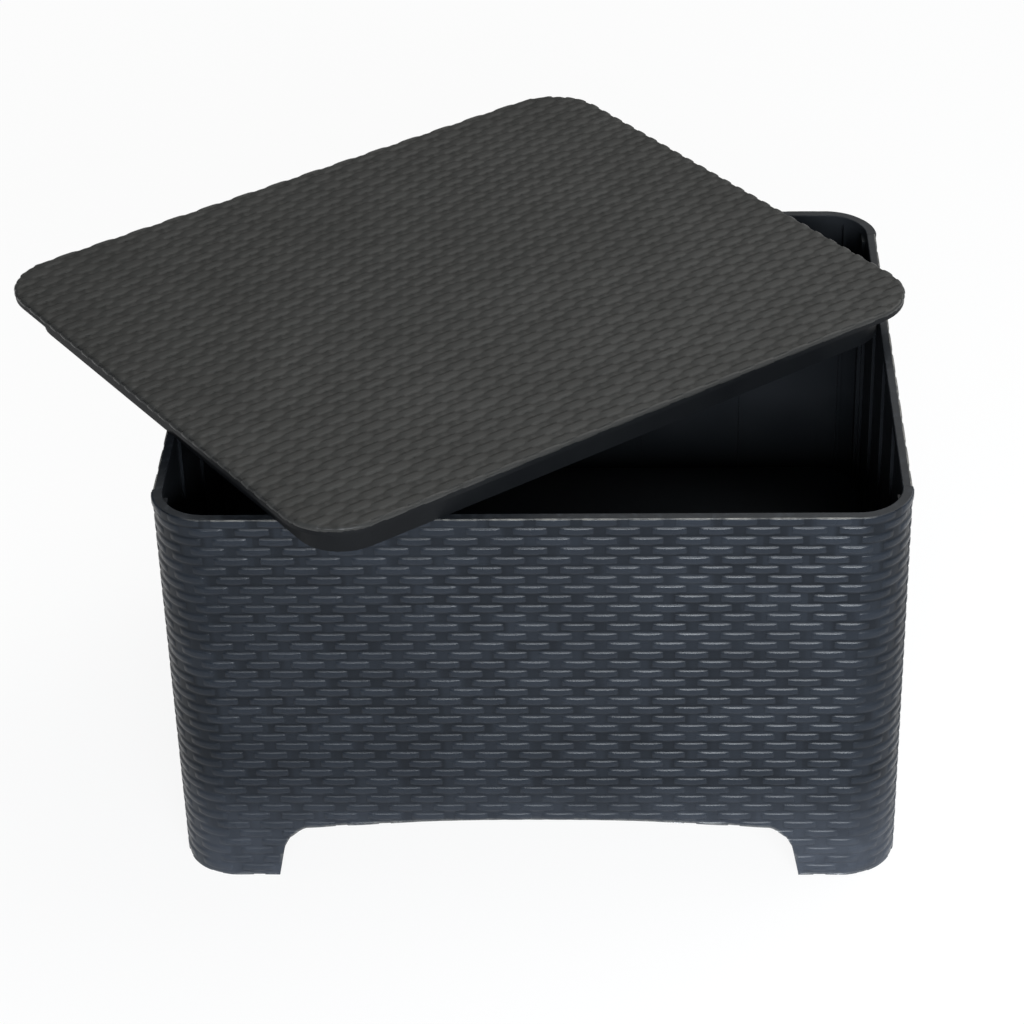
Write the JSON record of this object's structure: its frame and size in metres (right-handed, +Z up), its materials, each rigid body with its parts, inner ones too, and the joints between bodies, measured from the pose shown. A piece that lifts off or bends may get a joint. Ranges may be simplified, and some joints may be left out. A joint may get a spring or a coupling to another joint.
{
  "type": "outdoor storage coffee table",
  "caption": "Low rectangular storage coffee table in dark moulded wicker-look plastic, an upright box on arched corner feet with a loose lift-off lid laid askew on its rim.",
  "frame": {"origin": "on the ground under the middle of the box", "axes": "+X along the box's long side, -Y towards its front, +Z up"},
  "size_m": [0.761, 0.7438, 0.394],
  "materials": {
    "wall_plastic": "satin moulded anthracite, wicker-look outside",
    "floor_plastic": "plain moulded anthracite",
    "lid_plastic": "satin moulded anthracite, wicker-look top"
  },
  "bodies": {
    "box": {"front_panel": "wall_plastic", "back_panel": "wall_plastic", "left_panel": "wall_plastic", "right_panel": "wall_plastic", "floor_panel": "floor_plastic"},
    "lid": {"lid": "lid_plastic"}
  },
  "joints": [
    {"name": "lid_lift", "type": "slide", "parent": "box", "child": "lid", "axis": [0, 0, 1], "range_m": [0, 0.3]}
  ]
}
